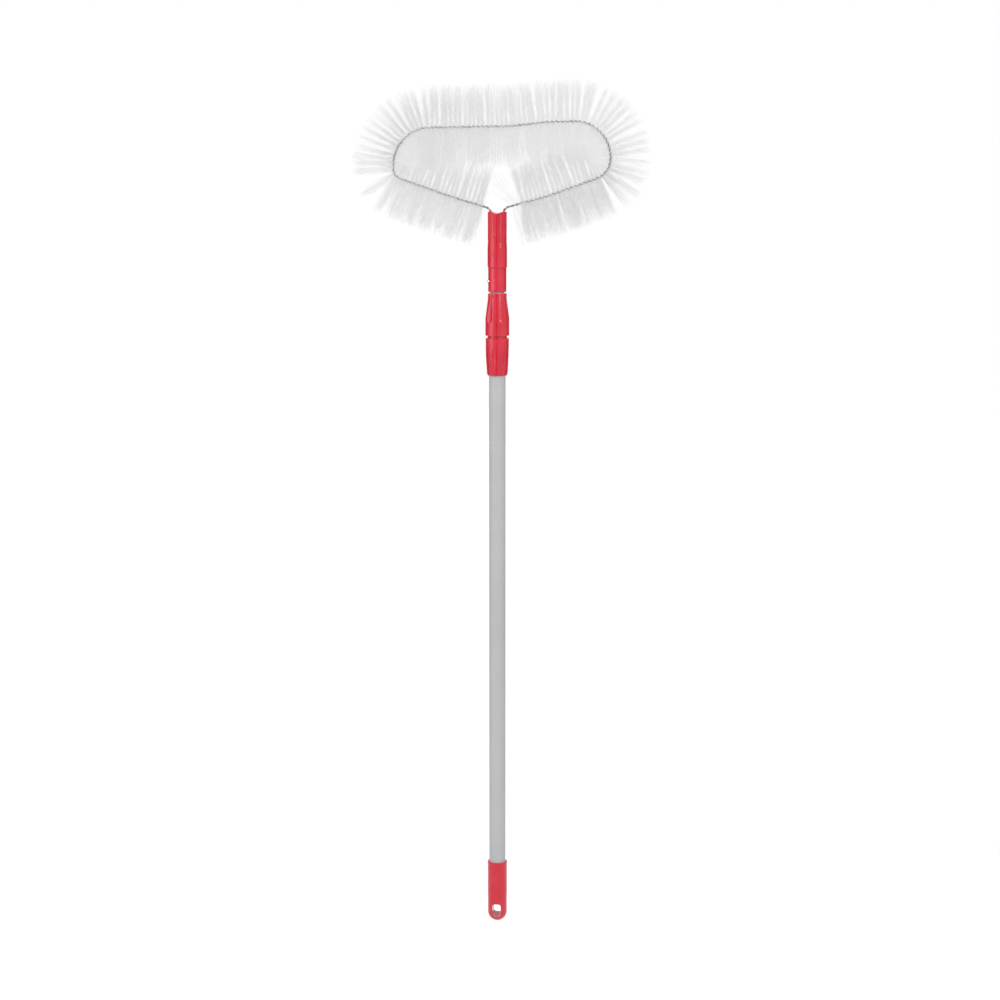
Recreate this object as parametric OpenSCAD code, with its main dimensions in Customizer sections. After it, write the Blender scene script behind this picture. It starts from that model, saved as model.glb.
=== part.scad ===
// Telescopic cobweb brush: a loop of twisted wire and bristles on a two-part pole.
// Millimetres. +Z runs up the pole to the head and +Y away from the viewer.
// The origin is the middle of the hanging slot in the end cap.

/* [Pole tubes] */
// Outside diameter of the outer tube
outer_d = 22; // [20:0.5:30]
// Wall of the outer tube
outer_wall = 0.9; // [0.6:0.1:1.2]
// Length of the outer tube
outer_len = 753; // [300:1:1500]
// Wall of the inner tube
inner_wall = 0.8; // [0.5:0.1:1.2]
// Air between the inner tube and the outer tube, on each side
tube_air = 0.6; // [0.4:0.1:1]
// Clearance of a part that slides on a tube, on each side
slide_fit = 0.05; // [0.02:0.01:0.1]
// Clearance of a part that is pushed onto a tube for good, on each side
push_fit = 0.02; // [0.01:0.01:0.05]

/* [End cap] */
// Wall of the cap around the tube
cap_wall = 2.2; // [1.5:0.05:4]
// How far the cap reaches over the tube
cap_grip = 45.7; // [20:0.1:80]
// How far the bead at the cap's mouth stands out
cap_bead = 0.3; // [0.2:0.1:1.5]
// Height of that bead
cap_bead_h = 3; // [2:0.5:6]
// Step in where the solid lug begins
cap_step = 0.2; // [0.1:0.05:0.8]
// Solid plastic between the slot and the end of the tube
cap_floor = 13; // [6:0.5:30]
// Width of the hanging slot
slot_w = 11.6; // [6:0.1:13]
// Height of the hanging slot
slot_h = 18; // [14:0.5:30]
// Corner radius of the hanging slot
slot_r = 4; // [2:0.5:5]
// Plastic below the hanging slot
slot_below = 8.2; // [5:0.1:20]

/* [Lock collar] */
// Diameter of the collar at its top
collar_d = 31; // [30:0.1:36]
// Diameter of the collar near its lower edge
collar_low_d = 27.5; // [27:0.1:29]
// Length of the collar
collar_len = 49.7; // [44:0.1:70]
// How far the collar reaches over the outer tube
collar_grip = 35.6; // [20:0.1:40]
// Radius of the collar's lower edge
collar_edge = 2.4; // [1:0.1:2.5]
// Number of hollows round the collar
collar_flutes = 6; // [4:1:10]
// Depth of those hollows
collar_flute_depth = 1.1; // [0.4:0.1:1.2]
// Radius across each hollow
collar_flute_r = 6.5; // [5:0.5:10]
// Radius along each hollow
collar_flute_sweep = 190; // [120:5:200]
// Height of the hollows' middle above the collar's lower edge
collar_flute_z = 26; // [23:0.5:30]
// Turn of the collar's hollows about the pole
collar_turn = 48; // [0:1:60]
// Diameter of the neck between collar and nut
neck_d = 25.9; // [25.5:0.1:27]
// Height of that neck above the collar
neck_len = 5.2; // [4:0.1:8]
// Outside diameter of the collar's thread, drawn plain
lock_thread_d = 25; // [24.6:0.1:25.4]
// Height of the thread above the collar
lock_thread_len = 26; // [20:0.5:30]

/* [Lock nut] */
// Gap that shows between collar and nut when the lock is tight
nut_gap = 3.2; // [2:0.1:5]
// Length of the nut
nut_len = 55.9; // [52:0.1:70]
// Diameter of the nut at its lower edge
nut_d = 32; // [31:0.1:38]
// Diameter of the nut at its shoulder
nut_shoulder_d = 31.7; // [30.8:0.1:32]
// Height of the shoulder above the lower edge
nut_skirt = 23; // [20:0.5:27]
// Diameter of the nut's straight top
nut_top_d = 25; // [24.8:0.1:27]
// Height of that straight top
nut_top_len = 7.5; // [4:0.5:12]
// Number of hollows round the nut
nut_flutes = 6; // [4:1:7]
// Radius across each hollow of the nut
nut_flute_r = 12; // [8:0.5:14]
// Depth of those hollows at the shoulder
nut_flute_depth = 1.6; // [0.8:0.1:1.7]
// Depth of those hollows at the nut's top edge
nut_flute_top = 0.7; // [0.5:0.1:1]
// Turn of the nut's hollows about the pole
nut_turn = 24; // [0:1:60]
// Clearance between nut and thread, on each side
thread_fit = 0.1; // [0.05:0.01:0.1]

/* [Clamp ring] */
// Height of the clamp ring
ring_h = 12; // [8:0.5:16]
// Thickness of the clamp ring at its lower, thicker end
ring_foot = 2.7; // [2.4:0.1:2.9]
// Thickness of the clamp ring at its upper end
ring_lip = 1.2; // [0.8:0.1:1.6]
// Width of the slit that lets the ring close
ring_slit = 2; // [1:0.5:4]
// Clearance between the ring and the nut's cone
ring_gap = 0.15; // [0.1:0.05:0.3]

/* [Head adapter] */
// Gap left between the nut and the adapter when the pole is closed
park_gap = 1.9; // [1.9:0.1:12]
// Diameter of the adapter
adapter_d = 24.2; // [23.4:0.1:30]
// Length of the adapter that shows
adapter_len = 31.9; // [30:0.1:60]
// How far the inner tube reaches into the adapter
adapter_grip = 29.5; // [26:0.5:30]
// Diameter of the adapter's thread, drawn plain
head_thread_d = 21; // [18:0.1:21.4]
// Length of the adapter's thread
head_thread_len = 31; // [20:0.5:34]
// Diameter of the hollow inside the thread
head_thread_core = 15; // [8:0.5:16]
// Height of the catch button above the adapter's lower edge
button_z = 14; // [12:0.5:14.5]
// Direction that the button points in, about the pole
button_turn = 206; // [180:1:225]
// Diameter of the button
button_d = 4.6; // [3:0.1:5]
// How far the button stands out of the adapter
button_proud = 1.3; // [0.4:0.1:1.5]
// Clearance round the button in the tube and the adapter
button_fit = 0.2; // [0.1:0.05:0.4]
// Thickness of the spring strip
strip = 0.5; // [0.3:0.1:0.8]
// Width of the spring strip
strip_w = 7; // [6:0.5:8]
// Length of the spring below the button
spring_len = 24; // [15:0.5:40]

/* [Head socket] */
// Diameter of the socket's sleeve
sleeve_d = 25.9; // [25.2:0.1:32]
// Length of the socket's sleeve
sleeve_len = 33; // [26:0.5:36]
// Diameter of the socket's waist
waist_d = 25; // [24.2:0.1:25.2]
// Diameter of the socket's top
socket_top_d = 25.1; // [24.6:0.1:30]
// Length of the whole socket
socket_len = 72.8; // [70:0.1:100]
// Depth of the bore for the adapter's thread
socket_bore_len = 33; // [32:0.5:36]
// Clearance between the socket and the adapter's thread, on each side
head_fit = 0.1; // [0.05:0.01:0.1]
// Gap between the socket's lower edge and the adapter's shoulder
seat_gap = 0.2; // [0.1:0.05:0.3]
// Number of flutes round the socket's upper part
socket_flutes = 12; // [8:1:16]
// Depth of those flutes
socket_flute_depth = 1.1; // [0.4:0.1:1.2]
// Radius across each flute of the socket
socket_flute_r = 2.5; // [1.5:0.1:3]
// Turn of the socket's flutes about the pole
socket_turn = 19; // [0:1:30]
// Depth of the dip in the socket's top
dip = 1.8; // [1:0.1:4]
// Width of that dip, from side to side
dip_w = 12.2; // [9:0.1:13]

/* [Wire loop] */
// Diameter of each wire
wire_d = 1.6; // [1.4:0.1:2]
// Length along the loop in which the wires twist once round
twist_pitch = 12.2; // [10:0.1:16]
// Turn of the pair of wires at its left end
first_twist = 82; // [0:1:180]
// Distance of each wire's end from the pole's axis
wire_x = 8.3; // [7:0.1:8.4]
// Depth of the wires in the socket
wire_depth = 30; // [15:1:36]
// Bend radius of the wires at the socket
entry_r = 9; // [8:0.5:12]
// Reach of the loop to the left
left_reach = 138; // [100:1:200]
// Reach of the loop to the right
right_reach = 148.5; // [120:0.5:200]
// Height of the loop's left top above the socket
left_top = 108.5; // [104:0.5:112]
// Height of the loop's right top above the socket
right_top = 118.5; // [110:0.5:126]
// Height of the loop's lower left corner above the socket
left_low = 46; // [40:0.5:50]
// Height of the loop's lower right corner above the socket
right_low = 50; // [44:0.5:54]

/* [Bristles] */
// Distance of the bristle tips from the middle of the wires
bristle_len = 55; // [30:1:58]
// How much shorter the shortest bristles are
bristle_spread = 4; // [0:0.5:8]
// Thickness of a bristle strand between the wires
bristle_t = 0.3; // [0.2:0.05:0.35]
// Width of a bristle strand at its root
bristle_root = 0.7; // [0.4:0.1:0.9]
// Bare wire between the socket and the first bristle on the left
bare_left = 10; // [8:1:40]
// Bare wire between the socket and the first bristle on the right
bare_right = 12; // [8:1:40]
// Double strands in each of the eight runs
run_strands = 30; // [10:1:31]

/* [Hidden] */
$fn = 96;
// How far a cutter runs past the face that it cuts
cut = 1;
// Chamfer on moulded edges
edge = 0.5;

red = "#d63246";
tube_grey = "#b4b5b7";
bright_steel = "#c9ccd0";
white_plastic = "#e9e9e4";
bristle_white = "#e4e6e8";

outer_bore = outer_d - 2 * outer_wall;
inner_d = outer_bore - 2 * tube_air;
inner_bore = inner_d - 2 * inner_wall;

// Heights, from the hanging slot up
cap_bottom = -slot_h / 2 - slot_below;
tube_z = slot_h / 2 + cap_floor;
cap_top = tube_z + cap_grip;
tube_top = tube_z + outer_len;
collar_z = tube_top - collar_grip;
collar_top = collar_z + collar_len;
nut_z = collar_top + nut_gap;
nut_top = nut_z + nut_len;
adapter_z = nut_top + park_gap;
adapter_top = adapter_z + adapter_len;
inner_top = adapter_z + adapter_grip;
socket_z = adapter_top + seat_gap;
socket_top = socket_z + socket_len;

cap_d = outer_d + 2 * cap_wall;
lug_d = cap_d - 2 * cap_step;
thread_top = collar_top + lock_thread_len;

// Foot of the inner tube: it stands on the cap's floor through its guide
guide_rest = 0.3;
guide_flange = 14;
guide_plug = 12;
inner_z = tube_z + guide_rest + guide_flange;
inner_len = inner_top - inner_z;

// Clamp ring between the thread's end and the nut's cone
ring_rest = 0.2;
ring_z = thread_top + ring_rest;
ring_bore = inner_d + 2 * slide_fit;
ring_foot_d = ring_bore + 2 * ring_foot;
ring_lip_d = ring_bore + 2 * ring_lip;

button_h = adapter_z + button_z;
button_hole = button_d + 2 * button_fit;
// Flange that keeps the button behind the wall of the inner tube
flange_rim = 0.8;
flange_d = button_d + 2 * flange_rim;
flange_t = 0.8;
flange_gap = 0.3;
flange_out = sqrt(pow(inner_bore / 2, 2) - pow(flange_d / 2, 2)) - flange_gap;

// Wires and the strip of bristles that they pinch
pinch_gap = 0.1;
wire_offset = wire_d / 2 + bristle_t / 2 + pinch_gap;
wire_bore_d = 2 * wire_offset + wire_d + 2 * push_fit;
wire_sides = 6;
rings_per_turn = 8;

// Route of the loop, from the left wire end to the right one, measured from the
// middle of the socket's top: [across, up, bend radius]
ROUTE = [
    [-wire_x, -wire_depth, 0],
    [-wire_x, 4, entry_r],
    [-61.5, 19.5, 500],
    [-left_reach + 0.5, left_low, 14],
    [-left_reach, left_top, 50],
    [17.5, 111, 150],
    [64.5, 116.5, 150],
    [right_reach, right_top, 47],
    [right_reach, right_low, 28],
    [59, 18, 300],
    [32.5, 11.5, 150],
    [wire_x, 4.5, entry_r],
    [wire_x, -wire_depth, 0]
];

function flat(p) = [p[0], p[1]];
function sum(v, i = 0) = i < len(v) ? v[i] + sum(v, i + 1) : 0;

// Straight stretches between the route's corners and the arcs that join them
last_leg = len(ROUTE) - 2;
leg_dir = [for (i = [0 : last_leg])
    let (d = flat(ROUTE[i + 1]) - flat(ROUTE[i])) d / norm(d)];
leg_heading = [for (d = leg_dir) atan2(d[1], d[0])];
bend_turn = [for (i = [1 : last_leg])
    let (a = leg_dir[i - 1], b = leg_dir[i])
    atan2(a[0] * b[1] - a[1] * b[0], a * b)];
bend_cut = [for (i = [1 : last_leg]) ROUTE[i][2] * tan(abs(bend_turn[i - 1]) / 2)];
function cut_before(i) = i > 0 ? bend_cut[i - 1] : 0;
function cut_after(i) = i < last_leg ? bend_cut[i] : 0;
leg_len = [for (i = [0 : last_leg])
    norm(flat(ROUTE[i + 1]) - flat(ROUTE[i])) - cut_before(i) - cut_after(i)];
leg_start = [for (i = [0 : last_leg]) flat(ROUTE[i]) + cut_before(i) * leg_dir[i]];
bend_len = [for (i = [0 : last_leg - 1])
    ROUTE[i + 1][2] * abs(bend_turn[i]) * PI / 180];

// One list of stretches: [start distance, start point, heading, curvature]
function stretches(i = 0, s = 0) = i > last_leg ? [] : concat(
    [[s, leg_start[i], leg_heading[i], 0]],
    i < last_leg
        ? [[s + leg_len[i], leg_start[i] + leg_len[i] * leg_dir[i], leg_heading[i],
            sign(bend_turn[i]) / ROUTE[i + 1][2]]]
        : [],
    stretches(i + 1, s + leg_len[i] + (i < last_leg ? bend_len[i] : 0)));
STRETCHES = stretches();
loop_len = sum(leg_len) + sum(bend_len);

function stretch_at(s) = STRETCHES[max([for (j = [0 : len(STRETCHES) - 1])
    if (STRETCHES[j][0] <= s || j == 0) j])];
// Place and heading of the loop's centre line at distance s
function station(s) =
    let (
        q = stretch_at(s),
        d = s - q[0],
        k = q[3],
        h = q[2] + k * d * 180 / PI,
        p = k == 0
            ? q[1] + d * [cos(h), sin(h)]
            : q[1] + [sin(h) - sin(q[2]), cos(q[2]) - cos(h)] / k
    )
    [[p[0], 0, p[1] + socket_top], h];
function along(h) = [cos(h), 0, sin(h)];
// Direction across the loop's centre line, turned by the angle t about it
function across(h, t) = cos(t) * [-sin(h), 0, cos(h)] + sin(t) * [0, -1, 0];
function twist(s) = 360 * s / twist_pitch + first_twist;

function quad(a, b, c, d) = [[a, b, c], [a, c, d]];
function joined(v) = [for (a = v) for (b = a) b];

module at_z(z) {
    translate([0, 0, z]) children();
}

module ring_of(count, turn) {
    for (i = [0 : count - 1]) rotate(turn + i * 360 / count) children();
}

module tube(d, bore, h) {
    difference() {
        cylinder(d = d, h = h);
        at_z(-cut) cylinder(d = bore, h = h + 2 * cut);
    }
}

module outer_tube() {
    color(tube_grey) at_z(tube_z) tube(outer_d, outer_bore, outer_len);
}

module slot_profile() {
    square([slot_w - 2 * slot_r, slot_h], center = true);
    square([slot_w, slot_h - 2 * slot_r], center = true);
    for (x = [-1, 1], y = [-1, 1])
        translate([x * (slot_w / 2 - slot_r), y * (slot_h / 2 - slot_r)]) circle(r = slot_r);
}

// Sleeve over the tube with a bead at its mouth, and a round-ended lug with the slot
module end_cap() {
    below_tube = 2;
    step_z = tube_z - below_tube;
    bead_d = cap_d + 2 * cap_bead;
    round_z = cap_bottom + lug_d / 2;
    color(red) difference() {
        union() {
            at_z(round_z) sphere(d = lug_d);
            at_z(round_z) cylinder(d = lug_d, h = step_z - round_z);
            at_z(step_z) cylinder(d1 = cap_d - edge, d2 = cap_d, h = edge / 2);
            at_z(step_z + edge / 2) cylinder(d = cap_d, h = cap_top - step_z - edge / 2);
            at_z(cap_top - cap_bead_h) cylinder(d1 = cap_d, d2 = bead_d, h = edge);
            at_z(cap_top - cap_bead_h + edge) cylinder(d = bead_d, h = cap_bead_h - 2 * edge);
            at_z(cap_top - edge) cylinder(d1 = bead_d, d2 = bead_d - 2 * edge, h = edge);
        }
        at_z(tube_z) cylinder(d = outer_d + 2 * push_fit, h = cap_grip + cut);
        rotate([90, 0, 0]) linear_extrude(height = 2 * cap_d, center = true) slot_profile();
    }
}

// Barrel-shaped side of the collar, from its rounded lower edge up
module collar_profile() {
    steps = 8;
    low = collar_edge;
    high = collar_len - edge;
    fall = (collar_d - collar_low_d) / 2;
    side = [for (i = [0 : steps])
        let (f = i / steps) [collar_d / 2 - fall * pow(1 - f, 2), low + (high - low) * f]];
    polygon(concat([[0, low]], side, [[collar_d / 2 - edge, collar_len], [0, collar_len]]));
    square([collar_low_d / 2 - collar_edge, collar_len]);
    translate([collar_low_d / 2 - collar_edge, collar_edge]) circle(r = collar_edge);
}

module collar_hollow() {
    reach = collar_flute_sweep + collar_flute_r;
    lean = atan((collar_d - collar_low_d) / 2 / collar_len);
    translate([collar_d / 2 - collar_flute_depth, 0, collar_flute_z])
        rotate([0, lean, 0])
            translate([reach, 0, 0])
                rotate([90, 0, 0])
                    rotate_extrude($fn = 720)
                        translate([collar_flute_sweep, 0]) circle(r = collar_flute_r, $fn = 64);
}

// Fluted collar on the outer tube, with the neck and the thread that the nut turns on
module lock_collar() {
    color(red) difference() {
        at_z(collar_z) union() {
            difference() {
                rotate_extrude() collar_profile();
                ring_of(collar_flutes, collar_turn - 90) collar_hollow();
            }
            cylinder(d = neck_d, h = collar_len + neck_len);
            cylinder(d = lock_thread_d, h = collar_len + lock_thread_len);
        }
        at_z(collar_z - cut) cylinder(d = outer_d + 2 * push_fit, h = collar_grip + cut);
        at_z(collar_z) cylinder(d = inner_d + 2 * slide_fit, h = collar_len + lock_thread_len + cut);
    }
}

// Split cone that the nut squeezes onto the inner tube
module clamp_ring() {
    color(white_plastic) at_z(ring_z) difference() {
        cylinder(d1 = ring_foot_d, d2 = ring_lip_d, h = ring_h);
        at_z(-cut) cylinder(d = ring_bore, h = ring_h + 2 * cut);
        translate([0, -ring_slit / 2, -cut]) cube([ring_foot_d, ring_slit, ring_h + 2 * cut]);
    }
}

// Round-ended cutter that leans with the nut's flare
module nut_hollow() {
    floor_r = nut_shoulder_d / 2 - nut_flute_depth;
    top_r = nut_top_d / 2 - nut_flute_top;
    lean = atan((floor_r - top_r) / (nut_len - nut_skirt));
    translate([floor_r + nut_flute_r, 0, nut_skirt])
        rotate([0, -lean, 0])
            rotate_extrude($fn = 64) {
                square([nut_flute_r, nut_len]);
                intersection() {
                    circle(r = nut_flute_r);
                    translate([0, -nut_flute_r]) square(nut_flute_r);
                }
            }
}

module nut_profile() {
    polygon([
        [0, 0],
        [nut_d / 2 - edge, 0],
        [nut_d / 2, edge],
        [nut_shoulder_d / 2, nut_skirt],
        [nut_top_d / 2, nut_len - nut_top_len],
        [nut_top_d / 2, nut_len - edge],
        [nut_top_d / 2 - edge, nut_len],
        [0, nut_len]
    ]);
}

// Counterbore over the neck, thread bore, cone over the clamp ring, then the tube's bore
module nut_bore_profile() {
    neck_air = 2;
    neck_room = neck_len - nut_gap + neck_air;
    cone_z = ring_z - nut_z;
    polygon([
        [0, -cut],
        [neck_d / 2 + 2 * thread_fit, -cut],
        [neck_d / 2 + 2 * thread_fit, neck_room],
        [lock_thread_d / 2 + thread_fit, neck_room],
        [lock_thread_d / 2 + thread_fit, cone_z - ring_rest],
        [ring_foot_d / 2 + ring_gap, cone_z],
        [ring_lip_d / 2 + ring_gap, cone_z + ring_h],
        [ring_lip_d / 2 + ring_gap, cone_z + ring_h + ring_rest],
        [inner_d / 2 + ring_gap, cone_z + ring_h + ring_rest],
        [inner_d / 2 + ring_gap, nut_len + cut],
        [0, nut_len + cut]
    ]);
}

// Fluted nut that turns on the collar's thread
module lock_nut() {
    color(red) at_z(nut_z) difference() {
        rotate_extrude() nut_profile();
        ring_of(nut_flutes, nut_turn - 90) nut_hollow();
        rotate_extrude() nut_bore_profile();
    }
}

module button_axis() {
    at_z(button_h) rotate(button_turn) rotate([0, 90, 0]) children();
}

module inner_tube() {
    color(tube_grey) difference() {
        at_z(inner_z) tube(inner_d, inner_bore, inner_len);
        button_axis() cylinder(d = button_hole, h = inner_d);
    }
}

// Plug in the foot of the inner tube, whose flange slides in the outer tube
module inner_tube_guide() {
    lead = 2;
    slide_d = outer_bore - 2 * slide_fit;
    color(white_plastic) at_z(inner_z - guide_flange) difference() {
        union() {
            cylinder(d1 = slide_d - lead, d2 = slide_d, h = lead);
            at_z(lead) cylinder(d = slide_d, h = guide_flange - lead);
            cylinder(d = inner_bore - 2 * push_fit, h = guide_flange + guide_plug);
        }
        at_z(-cut) cylinder(d = inner_bore / 2, h = guide_flange + guide_plug + 2 * cut);
    }
}

// Barrel over the inner tube's end, with the plain form of the thread above it
module head_adapter() {
    floor_t = 2;
    lead = 1;
    color(red) difference() {
        at_z(adapter_z) union() {
            cylinder(d1 = adapter_d - 2 * edge, d2 = adapter_d, h = edge);
            at_z(edge) cylinder(d = adapter_d, h = adapter_len - 2 * edge);
            at_z(adapter_len - edge) cylinder(d1 = adapter_d, d2 = adapter_d - 2 * edge, h = edge);
            cylinder(d = head_thread_d, h = adapter_len + head_thread_len - lead);
            at_z(adapter_len + head_thread_len - lead)
                cylinder(d1 = head_thread_d, d2 = head_thread_d - 2 * lead, h = lead);
        }
        at_z(adapter_z - cut) cylinder(d = inner_d + 2 * push_fit, h = adapter_grip + cut);
        at_z(inner_top + floor_t)
            cylinder(d = head_thread_core, h = adapter_len + head_thread_len);
        button_axis() cylinder(d = button_hole, h = adapter_d);
        button_axis() at_z(adapter_d / 2 - edge)
            cylinder(d1 = button_hole, d2 = button_hole + 4 * edge, h = 2 * edge);
    }
}

// Round-nosed button with a flange behind the wall of the inner tube
module catch_button() {
    nose = adapter_d / 2 + button_proud;
    color(bright_steel) button_axis() {
        at_z(flange_out - flange_t) cylinder(d = flange_d, h = flange_t);
        intersection() {
            at_z(flange_out - flange_t / 2) cylinder(d = button_d, h = nose);
            at_z(nose - button_d) sphere(r = button_d);
        }
        at_z(flange_out - flange_t / 2) cylinder(d = button_d, h = button_d / 2);
    }
}

module round_foot(r, h) {
    circle(r = r);
    translate([-r, 0]) square([2 * r, h]);
}

// Bent strip: one leg behind the button, one along the far wall of the tube
module button_spring() {
    leg_gap = 0.1;
    leg_x = flange_out - flange_t - leg_gap;
    far_x = -sqrt(pow(inner_bore / 2, 2) - pow(strip_w / 2, 2)) + push_fit;
    bend_r = (leg_x - far_x) / 2;
    strip_leg = spring_len + flange_d;
    color(bright_steel) at_z(button_h) rotate(button_turn) rotate([90, 0, 0])
        linear_extrude(height = strip_w, center = true)
            translate([leg_x - bend_r, -spring_len]) difference() {
                round_foot(bend_r, strip_leg);
                round_foot(bend_r - strip, strip_leg + cut);
            }
}

module socket_flutes_cut() {
    arch_r = 20;
    arch_rise = 6;
    difference() {
        ring_of(socket_flutes, socket_turn - 90)
            translate([waist_d / 2 - socket_flute_depth + socket_flute_r, 0, sleeve_len])
                cylinder(r = socket_flute_r, h = socket_len);
        at_z(sleeve_len + arch_rise - arch_r) rotate([90, 0, 0])
            cylinder(r = arch_r, h = 2 * sleeve_d, center = true);
    }
}

// Sleeve over the adapter's thread, fluted top with a dip, and two bores for the wires
module head_socket() {
    slope = 8;
    dip_r = (pow(dip_w / 2, 2) + pow(dip, 2)) / 2 / dip;
    mouth = 3;
    mouth_flare = 1;
    color(red) at_z(socket_z) difference() {
        union() {
            cylinder(d1 = sleeve_d - edge, d2 = sleeve_d, h = edge);
            at_z(edge) cylinder(d = sleeve_d, h = sleeve_len - slope - edge);
            at_z(sleeve_len - slope) cylinder(d1 = sleeve_d, d2 = waist_d, h = slope);
            at_z(sleeve_len)
                cylinder(d1 = waist_d, d2 = socket_top_d, h = socket_len - sleeve_len - edge);
            at_z(socket_len - edge)
                cylinder(d1 = socket_top_d, d2 = socket_top_d - 2 * edge, h = edge);
        }
        at_z(-cut) cylinder(d = head_thread_d + 2 * head_fit, h = socket_bore_len + cut);
        socket_flutes_cut();
        at_z(socket_len - dip + dip_r) rotate([90, 0, 0])
            cylinder(r = dip_r, h = 2 * sleeve_d, center = true);
        for (x = [-wire_x, wire_x]) translate([x, 0, 0]) {
            at_z(socket_len - wire_depth - push_fit) cylinder(d = wire_bore_d, h = socket_len);
            at_z(socket_len - mouth)
                cylinder(d1 = wire_bore_d, d2 = wire_bore_d + mouth_flare, h = mouth + push_fit);
        }
    }
}

// One wire of the twisted pair: a tube swept along a helix about the loop's centre line
module wire_strand(side) {
    rings = floor(loop_len / twist_pitch * rings_per_turn);
    lay = 2 * PI * wire_offset / twist_pitch;
    points = [for (i = [0 : rings], k = [0 : wire_sides - 1])
        let (
            s = i * loop_len / rings,
            q = station(s),
            out = side * across(q[1], twist(s) + 90),
            slant = along(q[1]) - side * lay * across(q[1], twist(s)),
            run = slant / norm(slant),
            level = cross([0, 1, 0], run),
            beside = level / norm(level),
            over = cross(run, beside),
            a = (k + 0.5) * 360 / wire_sides
        )
        q[0] + wire_offset * out + wire_d / 2 * (cos(a) * beside + sin(a) * over)];
    skin = joined([for (i = [0 : rings - 1], k = [0 : wire_sides - 1])
        let (a = i * wire_sides, n = (k + 1) % wire_sides)
        quad(a + k, a + wire_sides + k, a + wire_sides + n, a + n)]);
    ends = [for (k = [1 : wire_sides - 2], end = [0, 1])
        let (a = end * rings * wire_sides)
        end == 0 ? [a, a + k, a + k + 1] : [a, a + k + 1, a + k]];
    color(bright_steel) polyhedron(points = points, faces = concat(skin, ends));
}

module wire_strand_a() {
    wire_strand(1);
}

module wire_strand_b() {
    wire_strand(-1);
}

// Bristles lie between the wires and stand out on both sides of the loop's centre line,
// turning with the twist. One run is a twisted core with strands grown from its edges.
bristle_start = wire_depth + entry_r + bare_left;
bristle_end = loop_len - wire_depth - entry_r - bare_right;
runs = 8;
strand_step = (bristle_end - bristle_start) / (runs * run_strands);
tip_w = 0.45;
tip_t = 0.3;
core_half = bristle_t / 2;

// The tips end unevenly: this angle never repeats from one strand to the next
tip_step = 137.5;
function strand_reach(n) = bristle_len - bristle_spread * (1 + sin(n * tip_step)) / 2;

module bristle_run(run) {
    first = run * run_strands;
    // Two stations at the edges of each strand, and a last one that ends the core
    stops = joined([for (n = [0 : run_strands - 1])
        let (s = bristle_start + (first + n + 0.5) * strand_step)
        [s - bristle_root / 2, s + bristle_root / 2]]);
    core = joined([for (s = stops)
        let (q = station(s), v = across(q[1], twist(s)), u = across(q[1], twist(s) + 90))
        [for (c = [[1, 1], [1, -1], [-1, -1], [-1, 1]])
            q[0] + core_half * (c[0] * v + c[1] * u)]]);
    tips = joined([for (n = [0 : run_strands - 1], side = [1, -1])
        let (
            s = bristle_start + (first + n + 0.5) * strand_step,
            q = station(s),
            v = side * across(q[1], twist(s)),
            u = across(q[1], twist(s) + 90),
            t = along(q[1]),
            reach = strand_reach(2 * (first + n) + (side + 1) / 2)
        )
        [for (c = [[-1, 1], [-1, -1], [1, -1], [1, 1]])
            q[0] + reach * v + tip_w / 2 * c[0] * t + tip_t / 2 * c[1] * u]]);
    count = len(stops);
    core_skin = joined([for (i = [0 : count - 2], f = [0 : 3])
        if (i % 2 == 1 || f % 2 == 1)
            let (a = 4 * i, b = 4 * (i + 1), g = (f + 1) % 4)
            quad(a + f, b + f, b + g, a + g)]);
    last = 4 * (count - 1);
    core_ends = concat(quad(0, 1, 2, 3), quad(last + 3, last + 2, last + 1, last));
    strands = joined([for (n = [0 : run_strands - 1], side = [0, 1])
        let (
            a = 8 * n,
            b = a + 4,
            tip = 4 * count + 8 * n + 4 * side,
            root = side == 0 ? [a, a + 1, b + 1, b] : [a + 3, a + 2, b + 2, b + 3],
            wall = joined([for (k = [0 : 3])
                let (m = (k + 1) % 4)
                side == 0
                    ? quad(root[k], tip + k, tip + m, root[m])
                    : quad(root[m], tip + m, tip + k, root[k])]),
            lid = side == 0
                ? quad(tip, tip + 3, tip + 2, tip + 1)
                : quad(tip, tip + 1, tip + 2, tip + 3)
        )
        concat(wall, lid)]);
    color(bristle_white)
        polyhedron(points = concat(core, tips), faces = concat(core_skin, core_ends, strands));
}

module bristles_arm_left() {
    bristle_run(0);
}

module bristles_corner_left() {
    bristle_run(1);
}

module bristles_crown_left() {
    bristle_run(2);
}

module bristles_top_left() {
    bristle_run(3);
}

module bristles_top_right() {
    bristle_run(4);
}

module bristles_crown_right() {
    bristle_run(5);
}

module bristles_corner_right() {
    bristle_run(6);
}

module bristles_arm_right() {
    bristle_run(7);
}

outer_tube();
end_cap();
lock_collar();
clamp_ring();
lock_nut();
inner_tube();
inner_tube_guide();
head_adapter();
catch_button();
button_spring();
head_socket();
wire_strand_a();
wire_strand_b();
bristles_arm_left();
bristles_corner_left();
bristles_crown_left();
bristles_top_left();
bristles_top_right();
bristles_crown_right();
bristles_corner_right();
bristles_arm_right();
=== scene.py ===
import math
import random

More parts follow.
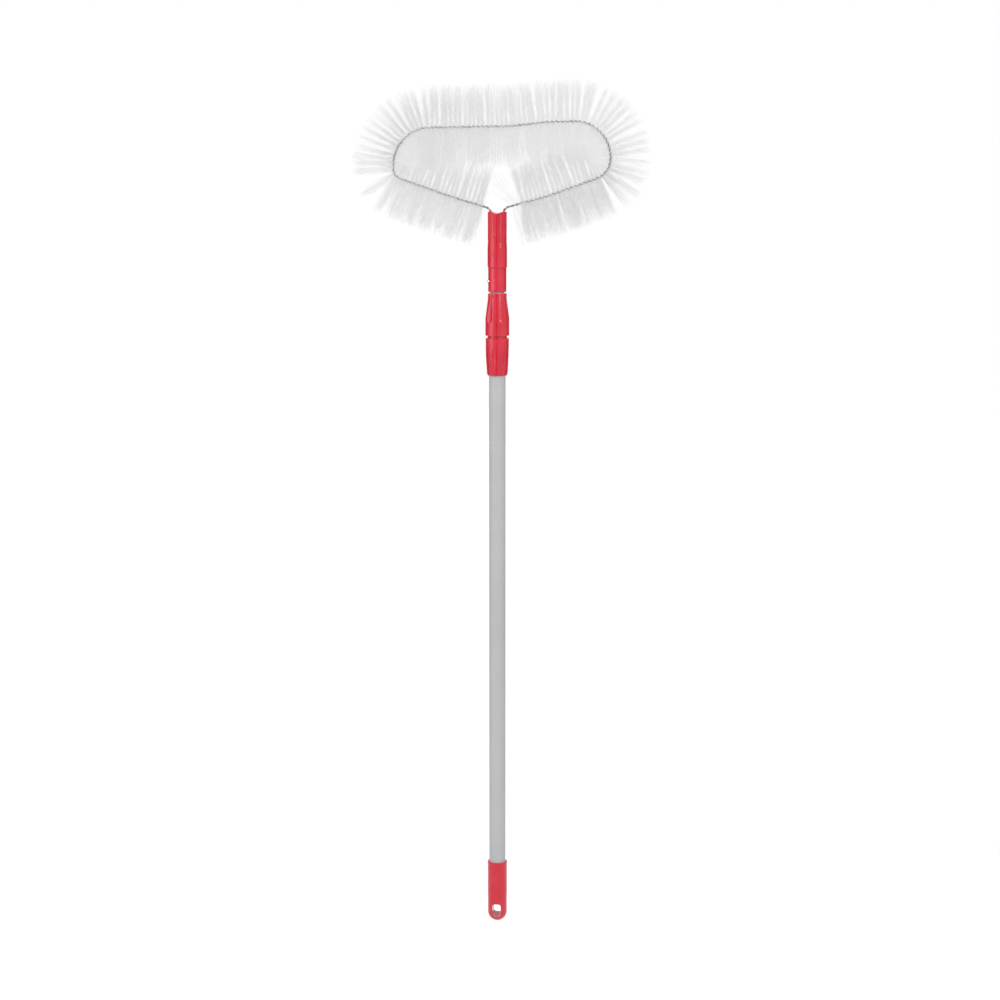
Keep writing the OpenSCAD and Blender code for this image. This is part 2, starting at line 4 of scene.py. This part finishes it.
import bpy
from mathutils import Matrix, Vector


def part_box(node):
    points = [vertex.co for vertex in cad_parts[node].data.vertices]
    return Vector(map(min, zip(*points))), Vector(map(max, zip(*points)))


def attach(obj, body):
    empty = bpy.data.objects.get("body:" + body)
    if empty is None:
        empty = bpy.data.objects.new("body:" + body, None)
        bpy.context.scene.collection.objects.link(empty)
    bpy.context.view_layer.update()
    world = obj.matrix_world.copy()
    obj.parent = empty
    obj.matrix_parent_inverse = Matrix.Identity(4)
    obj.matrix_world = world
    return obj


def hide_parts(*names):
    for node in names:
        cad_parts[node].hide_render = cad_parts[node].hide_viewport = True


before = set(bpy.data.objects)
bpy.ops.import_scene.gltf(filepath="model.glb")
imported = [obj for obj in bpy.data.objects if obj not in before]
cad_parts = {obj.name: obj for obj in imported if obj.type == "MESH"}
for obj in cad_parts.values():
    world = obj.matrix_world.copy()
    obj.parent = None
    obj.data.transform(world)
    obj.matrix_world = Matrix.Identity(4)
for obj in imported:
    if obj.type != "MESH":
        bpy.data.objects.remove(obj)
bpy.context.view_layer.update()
# A millimetre in metres
MM = 0.001
rng = random.Random(7)

# Camera, from the photograph's perspective

CAMERA_DISTANCE = 3.0
CAMERA_PITCH = math.radians(9.3)
CAMERA_TURN = math.radians(6)
CAMERA_LENS = 80.5
# Far enough to see the floor to its edge
CAMERA_SIGHT = 60
# Point on the pole that the middle row of the picture looks at
LOOK_HEIGHT = 0.57125
# The pole stands this far left of the picture's middle
POLE_LEFT = 0.0036


def studio_camera():
    """The photograph's camera: a little above the brush and to its right."""
    away = Vector((
        math.sin(CAMERA_TURN) * math.cos(CAMERA_PITCH),
        -math.cos(CAMERA_TURN) * math.cos(CAMERA_PITCH),
        math.sin(CAMERA_PITCH),
    ))
    right = Vector((math.cos(CAMERA_TURN), math.sin(CAMERA_TURN), 0))
    target = Vector((0, 0, LOOK_HEIGHT)) + right * POLE_LEFT
    data = bpy.data.cameras.new("studio_camera")
    data.lens = CAMERA_LENS
    data.clip_end = CAMERA_SIGHT
    camera = bpy.data.objects.new("studio_camera", data)
    bpy.context.scene.collection.objects.link(camera)
    camera.location = target + away * CAMERA_DISTANCE
    camera.rotation_mode = "QUATERNION"
    camera.rotation_quaternion = (-away).to_track_quat("-Z", "Y")
    bpy.context.scene.camera = camera


# Colours and nodes

# Blender's noise rarely leaves the range between these two values
NOISE_LOW = 0.3
NOISE_HIGH = 0.7


def linear(code):
    """A web colour such as "#d8263c" as linear red, green, blue and alpha."""
    channels = [int(code[i:i + 2], 16) / 255 for i in (1, 3, 5)]
    light = [c / 12.92 if c <= 0.04045 else ((c + 0.055) / 1.055) ** 2.4 for c in channels]
    return (*light, 1.0)


def add(tree, kind, inputs=(), **settings):
    """Adds a node with its settings, and gives each input a value or links a socket to it."""
    node = tree.nodes.new(kind)
    for name, value in settings.items():
        setattr(node, name, value)
    for name, value in dict(inputs).items():
        if isinstance(value, bpy.types.NodeSocket):
            tree.links.new(value, node.inputs[name])
        else:
            node.inputs[name].default_value = value
    return node


def new_material(name):
    """An empty material and its node tree."""
    material = bpy.data.materials.new(name)
    material.use_nodes = True
    material.node_tree.nodes.clear()
    return material, material.node_tree


def finish_material(material, shader):
    """Sends the shader node to the surface, and returns the material."""
    add(material.node_tree, "ShaderNodeOutputMaterial", {"Surface": shader.outputs[0]})
    return material


def per_metre(mm):
    """Noise scale for a pattern whose features are this many millimetres apart."""
    return 1 / (mm * MM)


def mottled(tree, place, mm, dark, light):
    """Colour that wanders between two tones over patches of the given size."""
    patches = add(tree, "ShaderNodeTexNoise", {"Vector": place, "Scale": per_metre(mm), "Detail": 2.0})
    ramp = add(tree, "ShaderNodeValToRGB", {"Fac": patches.outputs["Fac"]})
    darkest, lightest = ramp.color_ramp.elements
    darkest.position = NOISE_LOW
    darkest.color = linear(dark)
    lightest.position = NOISE_HIGH
    lightest.color = linear(light)
    return ramp.outputs["Color"]


def uneven_gloss(tree, place, mm, low, high):
    """Roughness that wanders between two values over patches of the given size."""
    patches = add(tree, "ShaderNodeTexNoise", {"Vector": place, "Scale": per_metre(mm), "Detail": 3.0})
    spread = add(tree, "ShaderNodeMapRange", {
        "Value": patches.outputs["Fac"],
        "From Min": NOISE_LOW,
        "From Max": NOISE_HIGH,
        "To Min": low,
        "To Max": high,
    })
    return spread.outputs["Result"]


def relief(tree, place, mm, depth_mm):
    """Bump from a fine noise of the given size and depth."""
    grain = add(tree, "ShaderNodeTexNoise", {"Vector": place, "Scale": per_metre(mm), "Detail": 2.0})
    bump = add(tree, "ShaderNodeBump", {
        "Height": grain.outputs["Fac"],
        "Distance": depth_mm * MM,
        "Strength": 1.0,
    })
    return bump.outputs["Normal"]


def object_place(tree):
    """The point of the object itself that is shaded, so that patterns stay with it."""
    return add(tree, "ShaderNodeTexCoord").outputs["Object"]


# Materials


def moulded_polypropylene():
    """Red polypropylene off a polished mould: satin gloss, with the colour a little cloudy
    where the melt flowed, and a faint orange peel that softens the highlights."""
    material, tree = new_material("red_moulded_polypropylene")
    place = object_place(tree)
    shader = add(tree, "ShaderNodeBsdfPrincipled", {
        "Base Color": mottled(tree, place, 22, "#c91b31", "#d5263c"),
        "Roughness": uneven_gloss(tree, place, 9, 0.12, 0.2),
        "IOR": 1.49,
        "Subsurface Weight": 0.08,
        "Subsurface Radius": (1.0, 0.12, 0.12),
        "Subsurface Scale": 2 * MM,
        "Normal": relief(tree, place, 2.2, 0.008),
    })
    return finish_material(material, shader)


def lacquered_steel():
    """Tube sprayed light grey: an even satin coat with orange peel about 1.5 mm across and
    a slow drift of tone along the tube, where the coat is thicker."""
    material, tree = new_material("grey_lacquered_steel")
    place = object_place(tree)
    shader = add(tree, "ShaderNodeBsdfPrincipled", {
        "Base Color": mottled(tree, place, 60, "#b3b4b6", "#b9babc"),
        "Roughness": uneven_gloss(tree, place, 14, 0.44, 0.54),
        "IOR": 1.5,
        "Normal": relief(tree, place, 1.5, 0.01),
    })
    return finish_material(material, shader)


def galvanised_wire():
    """Drawn steel wire with a zinc skin: grey metal, dull in patches of about 2 mm where the
    zinc froze, and finely roughened by the twisting."""
    material, tree = new_material("galvanised_wire")
    place = object_place(tree)
    shader = add(tree, "ShaderNodeBsdfPrincipled", {
        "Base Color": mottled(tree, place, 2.0, "#77797c", "#a8aaad"),
        "Metallic": 1.0,
        "Roughness": uneven_gloss(tree, place, 1.4, 0.22, 0.36),
        "Normal": relief(tree, place, 0.5, 0.01),
    })
    return finish_material(material, shader)


def nylon_filament():
    """Drawn nylon filament, clear white: light passes into it and out again, so a bristle looks
    pale grey against white and bright where the lamps strike along it."""
    material, tree = new_material("white_nylon_filament")
    place = object_place(tree)
    tone = mottled(tree, place, 6, "#e1e1e1", "#ececec")
    skin = add(tree, "ShaderNodeBsdfPrincipled", {
        "Base Color": tone,
        "Roughness": uneven_gloss(tree, place, 5, 0.3, 0.45),
        "IOR": 1.53,
        "Transmission Weight": 0.6,
    })
    through = add(tree, "ShaderNodeBsdfTranslucent", {"Color": tone})
    shader = add(tree, "ShaderNodeMixShader", {
        "Fac": 0.2,
        1: skin.outputs[0],
        2: through.outputs[0],
    })
    return finish_material(material, shader)


def natural_acetal():
    """Uncoloured acetal: milky white, slippery and waxy, faintly clouded."""
    material, tree = new_material("natural_acetal")
    place = object_place(tree)
    shader = add(tree, "ShaderNodeBsdfPrincipled", {
        "Base Color": mottled(tree, place, 8, "#e4e3dc", "#eeede8"),
        "Roughness": uneven_gloss(tree, place, 5, 0.32, 0.42),
        "IOR": 1.48,
        "Subsurface Weight": 0.15,
        "Subsurface Scale": 1.5 * MM,
        "Normal": relief(tree, place, 1.2, 0.008),
    })
    return finish_material(material, shader)


def nickel_plate():
    """Nickel on a turned steel button: warm bright metal with slight handling marks."""
    material, tree = new_material("nickel_plate")
    place = object_place(tree)
    shader = add(tree, "ShaderNodeBsdfPrincipled", {
        "Base Color": mottled(tree, place, 1.5, "#e6e5e2", "#f1f0ee"),
        "Metallic": 1.0,
        "Roughness": uneven_gloss(tree, place, 0.8, 0.1, 0.2),
    })
    return finish_material(material, shader)


def spring_strip():
    """Rolled carbon-steel strip, blued: dark grey metal with a dull, slightly cloudy sheen."""
    material, tree = new_material("rolled_spring_strip")
    place = object_place(tree)
    shader = add(tree, "ShaderNodeBsdfPrincipled", {
        "Base Color": mottled(tree, place, 3.0, "#6b6e74", "#85888d"),
        "Metallic": 1.0,
        "Roughness": uneven_gloss(tree, place, 1.0, 0.3, 0.42),
    })
    return finish_material(material, shader)


# Loop of the brush head, in millimetres

# Distance of the wire ends from the pole's axis, and their depth in the socket
WIRE_X = 8.3
WIRE_DEPTH = 30
ENTRY_R = 9
LEFT_REACH = 138
RIGHT_REACH = 148.5
# Route of the wires from the left end to the right one, measured from the middle of the
# socket's top: across, up, bend radius
ROUTE = [
    (-WIRE_X, -WIRE_DEPTH, 0),
    (-WIRE_X, 4, ENTRY_R),
    (-61.5, 19.5, 500),
    (-LEFT_REACH + 0.5, 46, 14),
    (-LEFT_REACH, 108.5, 50),
    (17.5, 111, 150),
    (64.5, 116.5, 150),
    (RIGHT_REACH, 118.5, 47),
    (RIGHT_REACH, 50, 28),
    (59, 18, 300),
    (32.5, 11.5, 150),
    (WIRE_X, 4.5, ENTRY_R),
    (WIRE_X, -WIRE_DEPTH, 0),
]
WIRE_D = 1.6
TWIST_PITCH = 12.2
FIRST_TWIST = math.radians(82)
# Bare wire between the bends at the socket and the strip of bristles
BARE_LEFT = 10
BARE_RIGHT = 12
# Stretches of the strip, each of which is a node of its own
RUNS = [
    "arm_left", "corner_left", "crown_left", "top_left",
    "top_right", "crown_right", "corner_right", "arm_right",
]

socket_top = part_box("head_socket")[1].z / MM


def loop_stretches():
    """Straight legs and the arcs between them, each as its start distance, start point, heading
    and curvature, and the whole length."""
    points = [Vector(p[:2]) for p in ROUTE]
    legs = [b - a for a, b in zip(points, points[1:])]
    headings = [math.atan2(d.y, d.x) for d in legs]
    turns = [(b - a + math.pi) % (2 * math.pi) - math.pi for a, b in zip(headings, headings[1:])]
    cuts = [0] + [r[2] * math.tan(abs(t) / 2) for r, t in zip(ROUTE[1:], turns)] + [0]
    stretches = []
    s = 0
    for i, leg in enumerate(legs):
        way = leg.normalized()
        straight = leg.length - cuts[i] - cuts[i + 1]
        start = points[i] + way * cuts[i]
        stretches.append((s, start, headings[i], 0))
        s += straight
        if i < len(turns):
            radius = ROUTE[i + 1][2]
            bend = math.copysign(1 / radius, turns[i])
            stretches.append((s, start + way * straight, headings[i], bend))
            s += radius * abs(turns[i])
    return stretches, s


STRETCHES, LOOP_LEN = loop_stretches()
STRIP_START = WIRE_DEPTH + ENTRY_R + BARE_LEFT
STRIP_END = LOOP_LEN - WIRE_DEPTH - ENTRY_R - BARE_RIGHT


def station(s):
    """Place and heading of the loop's centre line at distance s along it."""
    start, point, heading, bend = [stretch for stretch in STRETCHES if stretch[0] <= s][-1]
    d = s - start
    if bend == 0:
        flat = point + d * Vector((math.cos(heading), math.sin(heading)))
        turned = heading
    else:
        turned = heading + bend * d
        flat = point + Vector((
            math.sin(turned) - math.sin(heading),
            math.cos(heading) - math.cos(turned),
        )) / bend
    return Vector((flat.x, 0, flat.y + socket_top)), turned


def along(heading):
    """Direction of the loop's centre line."""
    return Vector((math.cos(heading), 0, math.sin(heading)))


def across(heading, turn):
    """Direction across the loop's centre line, turned about it by the given angle."""
    return math.cos(turn) * Vector((-math.sin(heading), 0, math.cos(heading))) \
        + math.sin(turn) * Vector((0, -1, 0))


def twist(s):
    """Turn of the pair of wires about the centre line at distance s."""
    return 2 * math.pi * s / TWIST_PITCH + FIRST_TWIST


def eased(t):
    """Smooth step that starts at 0 and ends at 1."""
    t = max(0.0, min(1.0, t))
    return t * t * (3 - 2 * t)


def new_piece(name, points, faces, material, smooth=True):
    """A mesh object from points in millimetres."""
    mesh = bpy.data.meshes.new(name)
    mesh.from_pydata([p * MM for p in points], [], faces)
    mesh.polygons.foreach_set("use_smooth", [smooth] * len(mesh.polygons))
    mesh.materials.append(material)
    mesh.update()
    piece = bpy.data.objects.new(name, mesh)
    bpy.context.scene.collection.objects.link(piece)
    return piece


def tube_rings(centres, ways, first_side, radius, sides, points, faces):
    """Adds a closed tube along the centres to the points and faces."""
    base = len(points)
    side = first_side
    for centre, way in zip(centres, ways):
        side = (side - side.dot(way) * way).normalized()
        other = way.cross(side)
        for k in range(sides):
            a = 2 * math.pi * k / sides
            points.append(centre + radius * (math.cos(a) * side + math.sin(a) * other))
    for i in range(len(centres) - 1):
        for k in range(sides):
            a = base + i * sides + k
            b = base + i * sides + (k + 1) % sides
            faces.append((a, b, b + sides, a + sides))
    last = base + (len(centres) - 1) * sides
    faces.append(tuple(base + k for k in reversed(range(sides))))
    faces.append(tuple(last + k for k in range(sides)))


# The twisted wires

WIRE_SIDES = 12
RINGS_PER_TURN = 16
# Wires that pinch bristles stand this far from the centre line, and bare ones close up
WIRE_OFFSET = 1.05
BARE_OFFSET = 0.83
# Length in which they close up
CLOSE_UP = 8


def wire_offset(s):
    """Distance of each wire from the centre line."""
    inside = min(s - STRIP_START, STRIP_END - s)
    return BARE_OFFSET + (WIRE_OFFSET - BARE_OFFSET) * eased((inside + CLOSE_UP) / CLOSE_UP)


def twisted_wire(name, side, node, material):
    """One of the two galvanised wires, wound round the other along the whole loop."""
    rings = int(LOOP_LEN / TWIST_PITCH * RINGS_PER_TURN)
    centres = []
    for i in range(rings + 1):
        s = i * LOOP_LEN / rings
        place, heading = station(s)
        centres.append(place + side * wire_offset(s) * across(heading, twist(s) + math.pi / 2))
    ways = [(b - a).normalized() for a, b in zip(centres, centres[1:])]
    ways.append(ways[-1])
    points = []
    faces = []
    tube_rings(centres, ways, Vector((0, 1, 0)), WIRE_D / 2, WIRE_SIDES, points, faces)
    piece = new_piece(name, points, faces, material)
    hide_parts(node)
    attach(piece, "head")


# The bristles

FILAMENT_D = 0.26
FILAMENT_REACH = 55
FILAMENT_SIDES = 3
FILAMENT_STEPS = 3
# Filaments held in each half turn of the wires, which gathers them into one tuft
TUFT = 98
# Fewest and most in one tuft, as shares of that
TUFT_UNEVEN = (0.65, 1.35)
TUFT_PITCH = TWIST_PITCH / 2
# The tight groove between the wires draws a tuft's roots together
ROOT_GATHER = 0.92
# Standard deviations: lean of a tuft, lean and turn of a filament in it, and bend of its tip
TUFT_LEAN = math.radians(2.2)
FILAMENT_LEAN = math.radians(1.6)
FILAMENT_TURN = math.radians(26)
FILAMENT_CURL = 2.2
# Shortest filaments as a share of the full reach, and how rare they are
SHORTEST = 0.82
SHORT_RARITY = 1.6
# Loose filaments at the two ends of the strip, few on the left and more on the right
STRAYS_LEFT = 3
STRAYS_RIGHT = 18
STRAY_SPREAD = 10
STRAY_LEAN = math.radians(22)
STRAY_SWAY = math.radians(9)
STRAY_TURN = math.radians(30)


def filament(s, heading, turn, leans, reaches, points, faces):
    """One bristle, pinched between the wires at distance s, standing out on both sides."""
    place = station(s)[0]
    run = along(heading)
    centres = []
    for side in (-1, 1):
        lean = leans[(side + 1) // 2]
        reach = reaches[(side + 1) // 2]
        out = side * across(heading, turn)
        way = (out * math.cos(lean) + run * math.sin(lean)).normalized()
        curl = rng.gauss(0, FILAMENT_CURL) * run + rng.gauss(0, FILAMENT_CURL) * out.cross(run)
        half = [place + way * (reach * k / FILAMENT_STEPS) + curl * (k / FILAMENT_STEPS) ** 2
                for k in range(1, FILAMENT_STEPS + 1)]
        centres = half[::-1] + [place] if side == -1 else centres + half
    ways = [(b - a).normalized() for a, b in zip(centres, centres[1:])]
    ways.append(ways[-1])
    tube_rings(centres, ways, run, FILAMENT_D / 2, FILAMENT_SIDES, points, faces)


def random_reach():
    """Length of one half of a filament: most are near the full reach, a few shorter."""
    return FILAMENT_REACH * (1 - (1 - SHORTEST) * rng.random() ** SHORT_RARITY)


def tuft_filaments(middle, count, points, faces):
    """A tuft: the filaments of one half turn, drawn together at the roots and fanning out."""
    heading = station(middle)[1]
    tuft_leans = [rng.gauss(0, TUFT_LEAN) for _ in range(2)]
    for k in range(count):
        share = (k + rng.random()) / count - 0.5
        s = middle + share * TUFT_PITCH * ROOT_GATHER
        turn = twist(middle + share * TUFT_PITCH) + rng.gauss(0, FILAMENT_TURN)
        spread = math.atan2(share * TUFT_PITCH * (1 - ROOT_GATHER), FILAMENT_REACH)
        leans = [tuft_leans[i] + spread + rng.gauss(0, FILAMENT_LEAN) for i in range(2)]
        filament(s, heading, turn, leans, [random_reach(), random_reach()], points, faces)


def stray_filaments(middle, spread, count, lean, points, faces):
    """Loose filaments near an end of the strip, whose upper halves lean toward the socket."""
    for _ in range(count):
        s = middle + rng.uniform(-spread, spread)
        leans = [lean + rng.gauss(0, STRAY_SWAY), rng.gauss(0, FILAMENT_LEAN)]
        turn = rng.gauss(0, STRAY_TURN)
        filament(s, station(s)[1], turn, leans, [random_reach(), random_reach()], points, faces)


def bristle_run(index, material):
    """The bristles of one stretch of the loop."""
    length = (STRIP_END - STRIP_START) / len(RUNS)
    first = STRIP_START + index * length
    # Tufts open in the plane of the loop, where the pair of wires lies one behind the other
    phase = -FIRST_TWIST * TWIST_PITCH / (2 * math.pi) % TUFT_PITCH
    # A tuft belongs to the stretch that its far edge lies in
    low = math.ceil((first - phase) / TUFT_PITCH - 0.5)
    high = math.ceil((first + length - phase) / TUFT_PITCH - 0.5)
    points = []
    faces = []
    for k in range(low, high):
        tuft_filaments(phase + k * TUFT_PITCH, round(TUFT * rng.uniform(*TUFT_UNEVEN)), points, faces)
    if index == 0:
        stray_filaments(STRIP_START, STRAY_SPREAD, STRAYS_LEFT, -STRAY_LEAN, points, faces)
    if index == len(RUNS) - 1:
        stray_filaments(STRIP_END, STRAY_SPREAD, STRAYS_RIGHT, STRAY_LEAN, points, faces)
    piece = new_piece(f"filaments_{RUNS[index]}", points, faces, material)
    # Clear filaments this thin don't shade the ones behind them
    piece.visible_shadow = False
    piece.visible_diffuse = False
    piece.visible_transmission = False
    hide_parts(f"bristles_{RUNS[index]}")
    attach(piece, "head")


# Studio, in metres and watts

# Strength of the surroundings where they light the brush, and where they are seen
ROOM_LIGHT = 0.64
ROOM_SEEN = 1.0
FLOOR_Z = -0.42
FLOOR_WIDTH = 18
# The floor is seen as this much plain white of this strength. The rest is lit paper, on which
# the brush's shadow falls
FLOOR_WHITE_SHARE = 0.85
FLOOR_WHITE = 1.13
PANEL_UP = 0.6
PANEL_HEIGHT = 2.4


def seen_or_mirrored(tree):
    """1 for what the camera sees, directly or in gloss and clear bristles, and 0 for other light."""
    rays = add(tree, "ShaderNodeLightPath")
    mirrored = add(tree, "ShaderNodeMath", {
        0: rays.outputs["Is Glossy Ray"],
        1: rays.outputs["Is Transmission Ray"],
    }, operation="MAXIMUM")
    seen = add(tree, "ShaderNodeMath", {
        0: rays.outputs["Is Camera Ray"],
        1: mirrored.outputs[0],
    }, operation="MAXIMUM")
    return seen.outputs[0]


def white_room():
    """White surroundings: softer where they light the brush than where they are seen."""
    world = bpy.data.worlds.new("white_room")
    world.use_nodes = True
    tree = world.node_tree
    tree.nodes.clear()
    seen = seen_or_mirrored(tree)
    soft = add(tree, "ShaderNodeBackground", {"Color": linear("#ffffff"), "Strength": ROOM_LIGHT})
    white = add(tree, "ShaderNodeBackground", {"Color": linear("#ffffff"), "Strength": ROOM_SEEN})
    mixed = add(tree, "ShaderNodeMixShader", {"Fac": seen, 1: soft.outputs[0], 2: white.outputs[0]})
    add(tree, "ShaderNodeOutputWorld", {"Surface": mixed.outputs[0]})
    bpy.context.scene.world = world


def flat_sheet(name, width, height, up, material):
    """A rectangle round the origin, with its height in the given direction."""
    half = width / MM / 2
    high = height / MM / 2
    corners = ((-half, -high), (half, -high), (half, high), (-half, high))
    points = [Vector((x, 0, 0)) + y * Vector(up) for x, y in corners]
    return new_piece(name, points, [(0, 1, 2, 3)], material, smooth=False)


def floor():
    """A pale floor that reads as white and still takes the brush's shadow."""
    material, tree = new_material("white_seamless_paper")
    place = object_place(tree)
    share = add(tree, "ShaderNodeMath", {
        0: seen_or_mirrored(tree),
        1: FLOOR_WHITE_SHARE,
    }, operation="MULTIPLY")
    paper = add(tree, "ShaderNodeBsdfDiffuse", {"Color": mottled(tree, place, 300, "#f4f4f4", "#f8f8f8")})
    white = add(tree, "ShaderNodeEmission", {"Color": linear("#ffffff"), "Strength": FLOOR_WHITE})
    mixed = add(tree, "ShaderNodeMixShader", {
        "Fac": share.outputs[0],
        1: paper.outputs[0],
        2: white.outputs[0],
    })
    finish_material(material, mixed)
    piece = flat_sheet("floor", FLOOR_WIDTH, FLOOR_WIDTH, (0, 1, 0), material)
    piece.location.z = FLOOR_Z


def round_the_pole(degrees, away, up):
    """A place in the room, turned about the pole from the camera's own side to its right."""
    turn = CAMERA_TURN + math.radians(degrees)
    return (away * math.sin(turn), -away * math.cos(turn), up)


def felt_panel(name, degrees, away, width):
    """A standing panel of grey felt that the camera doesn't see, for the pole's edges to mirror."""
    material, tree = new_material(name + "_felt")
    felt = add(tree, "ShaderNodeBsdfDiffuse", {
        "Color": mottled(tree, object_place(tree), 40, "#6c6c6c", "#7a7a7a"),
    })
    finish_material(material, felt)
    piece = flat_sheet(name, width, PANEL_HEIGHT, (0, 0, 1), material)
    piece.location = round_the_pole(degrees, away, PANEL_UP)
    piece.rotation_euler.z = CAMERA_TURN + math.radians(degrees)
    piece.visible_camera = False


def softbox(name, place, aim_up, width, height, watts):
    """A soft lamp that points at the pole's axis at the given height."""
    data = bpy.data.lights.new(name, "AREA")
    data.shape = "RECTANGLE"
    data.size = width
    data.size_y = height
    data.energy = watts
    lamp = bpy.data.objects.new(name, data)
    bpy.context.scene.collection.objects.link(lamp)
    lamp.location = place
    lamp.rotation_mode = "QUATERNION"
    lamp.rotation_quaternion = (Vector((0, 0, aim_up)) - Vector(place)).to_track_quat("-Z", "Y")


bpy.context.scene.view_settings.view_transform = "Standard"
studio_camera()
white_room()
floor()
softbox("key_left", round_the_pole(-60, away=2.4, up=1.7), aim_up=0.6, width=1.7, height=3.0, watts=28)
softbox("fill_right", round_the_pole(52, away=2.4, up=1.7), aim_up=0.6, width=1.5, height=3.0, watts=3)
softbox("strip_right", round_the_pole(38, away=2.4, up=1.54), aim_up=0.8, width=0.26, height=0.95, watts=18)
softbox("top", (0, 0.3, 3.2), aim_up=0.9, width=1.8, height=1.8, watts=36)
felt_panel("panel_left", -125, away=1.7, width=1.8)
felt_panel("panel_right", 125, away=1.7, width=1.8)
felt_panel("panel_front", -8, away=2.2, width=0.55)

# Finishes of the solids that show as they are

red = moulded_polypropylene()
lacquer = lacquered_steel()
acetal = natural_acetal()
FINISH = {
    "outer_tube": lacquer,
    "inner_tube": lacquer,
    "end_cap": red,
    "lock_collar": red,
    "lock_nut": red,
    "head_adapter": red,
    "head_socket": red,
    "clamp_ring": acetal,
    "inner_tube_guide": acetal,
    "catch_button": nickel_plate(),
    "button_spring": spring_strip(),
}
for node, material in FINISH.items():
    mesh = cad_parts[node].data
    mesh.materials.clear()
    mesh.materials.append(material)

# The loop, which stands for the solids of its wires and bristles

wire = galvanised_wire()
twisted_wire("twisted_wire_a", 1, "wire_strand_a", wire)
twisted_wire("twisted_wire_b", -1, "wire_strand_b", wire)
nylon = nylon_filament()
for index in range(len(RUNS)):
    bristle_run(index, nylon)
